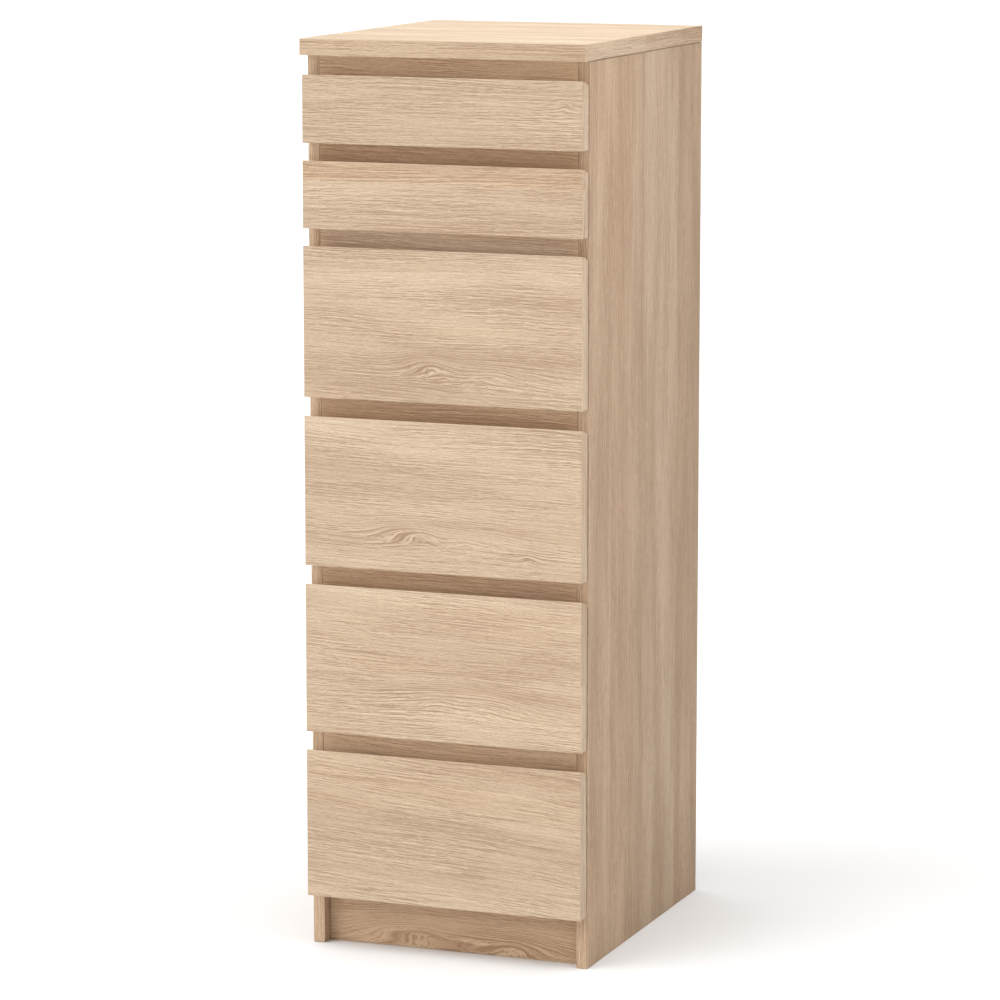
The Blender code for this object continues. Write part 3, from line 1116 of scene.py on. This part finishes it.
@dataclass
class RunnerSet:
    """The steel runners of one drawer, with their rollers and fixings.

    Heights and reaches are measured from the lower corner of the cabinet
    runner's web against the side panel.
    """

    palette: Palette
    number: int
    roller_radius: float = 0.0064
    roller_from: float = 0.0022
    roller_to: float = 0.0088
    front_roller_height: float = 0.0241
    front_roller_inset: float = 0.012
    rear_roller_height: float = 0.0079
    rear_roller_inset: float = 0.010
    screw_height: float = 0.0245
    screw_places: tuple[float, ...] = (0.050, 0.190, 0.350)
    sheet: float = 0.0011
    flange_height: float = 0.0307
    flange_reach: float = 0.0024
    foot_reach: float = 0.0105
    rail_rounding: float = 0.0003
    rail_screw_places: tuple[float, ...] = (0.030, 0.220, 0.375)

    def add_roller(
        self, name: str, body: str, side: Side, wall: float, y: float, z: float
    ) -> None:
        """Add a roller with a hub and rounded rims between its two faces.

        Args:
            name: The piece's name.
            body: The body that it rides on.
            side: Which side of the chest it is on.
            wall: The X of the side panel's inner face.
            y: The roller's depth coordinate.
            z: The height of its axle.
        """
        width = self.roller_to - self.roller_from
        radius = self.roller_radius
        profile = [
            (0.0, radius * 0.45),
            (0.0, radius * 0.86),
            (0.0005, radius * 0.97),
            (0.0011, radius),
            (width - 0.0011, radius),
            (width - 0.0005, radius * 0.97),
            (width, radius * 0.86),
            (width, radius * 0.62),
            (width - 0.0008, radius * 0.58),
            (width - 0.0008, radius * 0.42),
            (width, radius * 0.38),
        ]
        inward = -side.value
        face = wall + inward * self.roller_from
        work = Workpiece().turn(profile, Axis.WIDTH, (face, y, z), inward)
        add_piece(name, work, self.palette.nylon, body)

    def build_cabinet_side(self, side: Side) -> None:
        """Dress one cabinet runner and give it its front roller and fixings.

        Args:
            side: Which side of the chest it is on.
        """
        node = f"runner_{self.number}_{side.word}"
        dress(node, self.palette.coat)
        low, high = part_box(node)
        wall = high.x if side is Side.RIGHT else low.x
        inward = -side.value
        y = low.y + self.front_roller_inset
        z = low.z + self.front_roller_height
        self.add_roller(f"{node}_roller", "carcass", side, wall, y, z)

        work = Workpiece()
        web = wall + inward * 0.0012
        shank = self.roller_to - 0.0012
        work.turn(self.palette.fixings.rivet_profile(shank), Axis.WIDTH, (web, y, z), inward)
        places = [
            facing(Axis.WIDTH, inward, (web, low.y + along, low.z + self.screw_height))
            for along in self.screw_places
        ]
        work.stamp(self.palette.screw, places)
        add_piece(f"{node}_fixings", work, self.palette.zinc, "carcass")

    def build_drawer_side(self, side: Side) -> None:
        """Build one drawer-side rail with its rear roller and fixings.

        Args:
            side: Which side of the drawer it is on.
        """
        drawer = f"drawer_{self.number}"
        runner_low, runner_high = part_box(f"runner_{self.number}_{side.word}")
        board_low, board_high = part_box(f"{drawer}_side_{side.word}")
        sign = side.value
        outer = board_high.x if side is Side.RIGHT else board_low.x
        wall = runner_high.x if side is Side.RIGHT else runner_low.x
        clearance = 0.0002
        web_in = outer + sign * clearance
        web_out = web_in + sign * self.sheet
        tip = wall - sign * self.flange_reach
        foot = outer - sign * self.foot_reach
        top = runner_low.z + self.flange_height + self.sheet
        bottom = board_low.z - clearance - self.sheet
        outline = [
            (foot, bottom),
            (web_out, bottom),
            (web_out, top - self.sheet),
            (tip, top - self.sheet),
            (tip, top),
            (web_in, top),
            (web_in, bottom + self.sheet),
            (foot, bottom + self.sheet),
        ]
        length = board_high.y - board_low.y - 0.002
        name = f"{drawer}_rail_{side.word}"
        work = Workpiece().sweep(outline, Axis.DEPTH, board_low.y + 0.001, length)
        add_piece(name, work, self.palette.coat, drawer, self.rail_rounding)

        y = board_high.y - self.rear_roller_inset
        z = runner_low.z + self.rear_roller_height
        self.add_roller(f"{drawer}_roller_{side.word}", drawer, side, wall, y, z)

        work = Workpiece()
        shank = abs(wall - web_out) - self.roller_from
        rivet = self.palette.fixings.rivet_profile(shank)
        work.turn(rivet, Axis.WIDTH, (web_out, y, z), sign)
        height = runner_low.z + self.screw_height
        places = [
            facing(Axis.WIDTH, sign, (web_out, board_low.y + along, height))
            for along in self.rail_screw_places
        ]
        work.stamp(self.palette.screw, places)
        add_piece(f"{drawer}_fixings_{side.word}", work, self.palette.zinc, drawer)

    def build(self) -> None:
        """Build both sides of the runner set."""
        for side in Side:
            self.build_cabinet_side(side)
            self.build_drawer_side(side)


@dataclass
class Drawer:
    """One drawer: a veneered front on a foil-covered box."""

    palette: Palette
    number: int
    layup: Layup
    bottom_paint_share: float = 0.4

    def build(self) -> None:
        """Dress the drawer's boards and build its runner set."""
        label = f"drawer_{self.number}"
        self.palette.veneer(f"{label}_front", self.layup)
        for part in ("side_left", "side_right", "back"):
            dress(f"{label}_{part}", self.palette.foil)
        low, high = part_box(f"{label}_bottom")
        bare_below = low.z + (high.z - low.z) * self.bottom_paint_share
        board = Hardboard().material(f"{label}_hardboard", Axis.UP, bare_below, -1.0)
        dress(f"{label}_bottom", board)
        RunnerSet(self.palette, self.number).build()


@dataclass
class Lid:
    """The lift-up top with its mirror and hinges."""

    palette: Palette
    arm_screw_heights: tuple[float, float] = (0.007, 0.019)
    board_seed: float = 3.0

    def dress_boards(self) -> None:
        """Veneer the lid and silver the mirror."""
        # The top's leaves are lighter and cooler than the lid's front edge before -0.2394, and the
        # end bands darker: painted light on the top and painted shade on the edges, over the
        # veneer's own leaf-to-leaf tone.
        bands = (Leaf(-0.235, 0.92, 0.4), Leaf(0.0, 0.85, 1.3), Leaf(0.143, 0.83, 1.6))
        leaves = (Leaf(-0.2394, 1.08, -1.1), Leaf(-0.060, 1.10, -0.9))
        layup = Layup(
            Axis.WIDTH,
            Axis.DEPTH,
            self.board_seed,
            leaves,
            bands,
            tone=0.94,
            warmth=0.8,
            figuring=2.0,
        )
        self.palette.veneer("lid", layup)
        low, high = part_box("mirror")
        dress("mirror", MirrorGlass().material("silvered_glass", low, high))

    def build_hinges(self) -> None:
        """Dress both hinges and set the screws in their foot plates."""
        for side in Side:
            dress(f"hinge_pocket_{side.word}", self.palette.zinc)
            dress(f"hinge_arm_{side.word}", self.palette.zinc)
            low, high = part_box(f"hinge_arm_{side.word}")
            x = (low.x + high.x) / 2
            places = [
                facing(Axis.DEPTH, -1.0, (x, low.y, low.z + up)) for up in self.arm_screw_heights
            ]
            work = Workpiece().stamp(self.palette.screw, places)
            name = f"hinge_screws_{side.word}"
            add_piece(name, work, self.palette.zinc, "carcass")

    def build(self) -> None:
        """Dress the lid and its hinges."""
        self.dress_boards()
        self.build_hinges()


@dataclass
class Studio:
    """The pale floor, the soft lights and the camera."""

    azimuth: float = 20.97
    elevation: float = 9.35
    distance: float = 6.034
    aim: Point = (-0.009, 0.0, 0.589)
    lens: float = 158.1
    sensor: float = 36.0
    sky_low: float = 1.27
    sky_middle: float = 0.26
    sky_top: float = 2.85
    key_strength: float = 0.50
    key_spread: float = 50.0
    key_from: Point = (-0.55, -0.55, 0.63)
    fill_power: float = 5.0
    fill_size: float = 0.7
    fill_place: Point = (1.1, -0.3, 1.9)
    fill_target: Point = (0.2, 0.0, 1.0)

    def stand(self, name: str, data: bpy.types.ID, place: Vector, look: Vector) -> bpy.types.Object:
        """Put a light or a camera into the scene.

        Args:
            name: Its name.
            data: Its light or camera data.
            place: Where it stands.
            look: The direction that it looks along.

        Returns:
            Its object.
        """
        stood = bpy.data.objects.new(name, data)
        bpy.context.scene.collection.objects.link(stood)
        stood.location = place
        stood.rotation_euler = look.to_track_quat("-Z", "Y").to_euler()
        return stood

    def camera_place(self) -> Vector:
        """Work out where the camera stands.

        Returns:
            The place, in chest coordinates.
        """
        turn = math.radians(self.azimuth)
        rise = math.radians(self.elevation)
        level = math.cos(rise)
        away = Vector((math.sin(turn) * level, -math.cos(turn) * level, math.sin(rise)))
        return Vector(self.aim) + away * self.distance

    def build_camera(self) -> None:
        """Make the camera and set it as the scene's own."""
        data = bpy.data.cameras.new("camera")
        data.lens = self.lens
        data.sensor_width = self.sensor
        data.clip_end = 100.0
        place = self.camera_place()
        bpy.context.scene.camera = self.stand("camera", data, place, Vector(self.aim) - place)

    def build_key(self) -> None:
        """Add one broad soft light from the front left."""
        data = bpy.data.lights.new("key", "SUN")
        data.energy = math.pi * self.key_strength
        data.angle = math.radians(self.key_spread)
        self.stand("key", data, Vector(), Vector(self.key_from) * -1.0)

    def build_fill(self) -> None:
        """Add a square light high on the right, which fades down the side."""
        data = bpy.data.lights.new("fill", "AREA")
        data.shape = "SQUARE"
        data.size = self.fill_size
        data.energy = self.fill_power
        place = Vector(self.fill_place)
        self.stand("fill", data, place, Vector(self.fill_target) - place)

    def build_world(self) -> None:
        """Surround the scene with a soft sky: white low down and overhead, dim between."""
        world = bpy.data.worlds.new("studio")
        world.use_nodes = True
        graph = Graph(world.node_tree)
        background = graph.node("ShaderNodeBackground")
        split = graph.node("ShaderNodeSeparateXYZ", inputs={"Vector": graph.generated()})
        rise = Signal(graph, split.outputs["Z"])
        sky = rise.step(0.08, 0.16) * (self.sky_middle - self.sky_low) + self.sky_low
        sky = rise.step(0.60, 0.85) * (self.sky_top - self.sky_middle) + sky
        graph.feed(background, "Strength", sky)
        output = graph.node("ShaderNodeOutputWorld")
        graph.tree.links.new(background.outputs["Background"], output.inputs["Surface"])
        bpy.context.scene.world = world
        bpy.context.scene.view_settings.view_transform = "Standard"

    def build_floor(self) -> None:
        """Lay a large plain pale floor."""
        outline = [(-30.0, -30.0), (30.0, -30.0), (30.0, 30.0), (-30.0, 30.0)]
        mesh = Workpiece().sweep(outline, Axis.UP, -0.02, 0.0198).mesh("floor")
        graph = Finish("floor_paint")
        cloud = graph.noise(graph.position(), 2.0, scale=0.6)
        paint = graph.mix(cloud, (0.77, 0.77, 0.77), (0.80, 0.80, 0.80))
        graph.set(Base_Color=paint, Roughness=0.9, Specular_IOR_Level=0.0)
        mesh.materials.append(graph.material)
        floor = bpy.data.objects.new("floor", mesh)
        bpy.context.scene.collection.objects.link(floor)

    def build(self) -> None:
        """Build the whole studio."""
        self.build_world()
        self.build_floor()
        self.build_key()
        self.build_fill()
        self.build_camera()


def drawer_layups() -> list[Layup]:
    """List how the drawer fronts are laid up.

    Returns:
        The layup of each front, from the top.
    """

    def front(number: int, **details: Any) -> Layup:
        """Return a front's layup with its grain across the width."""
        return Layup(Axis.WIDTH, Axis.UP, FRONT_SEED + number * FRONT_SEED_STEP, **details)

    lows = [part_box(f"drawer_{number}_front")[0].z for number in range(1, DRAWER_COUNT + 1)]
    return [
        front(
            1,
            # Slightly darker: painted shade under the lid.
            tone=0.96,
            slope=0.006,
            leaves=(Leaf(lows[0] + 0.060, 0.95, 0.2),),
            swirls=(Swirl(0.172, lows[0] + 0.058, 0.012, 0.008, 0.005),),
        ),
        front(2, slope=-0.006, leaves=(Leaf(lows[1] + 0.064, 0.965, 1.2),), ring_rate=140.0),
        front(
            3,
            slope=0.015,
            swirls=(
                Swirl(-0.022, lows[2] + 0.054, 0.040, 0.016, 0.0150),
                Swirl(0.060, lows[2] + 0.046, 0.080, 0.018, 0.012),
            ),
        ),
        front(
            4,
            slope=0.030,
            swirls=(
                Swirl(-0.050, lows[3] + 0.056, 0.048, 0.015, 0.0142),
                Swirl(0.030, lows[3] + 0.050, 0.090, 0.018, 0.010),
                Swirl(0.122, lows[3] + 0.029, 0.012, 0.007, 0.006),
            ),
        ),
        front(
            5,
            slope=0.022,
            leaves=(Leaf(lows[4] + 0.090, 1.0, 0.2),),
            swirls=(Swirl(0.030, lows[4] + 0.060, 0.110, 0.026, 0.018),),
        ),
        front(
            6,
            # Darker: painted shade low on the chest.
            tone=0.95,
            slope=0.070,
            leaves=(Leaf(lows[5] + 0.128, 0.93, 0.6),),
            ring_rate=150.0,
        ),
    ]


def main() -> None:
    """Build the chest from its sub-assemblies and report each piece."""
    logging.basicConfig(level=logging.INFO, format="%(name)s: %(message)s")
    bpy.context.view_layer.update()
    palette = Palette()
    Carcass(palette).build()
    for number, layup in enumerate(drawer_layups(), start=1):
        Drawer(palette, number, layup).build()
    Lid(palette).build()
    Studio().build()


if __name__ == "__main__":
    main()
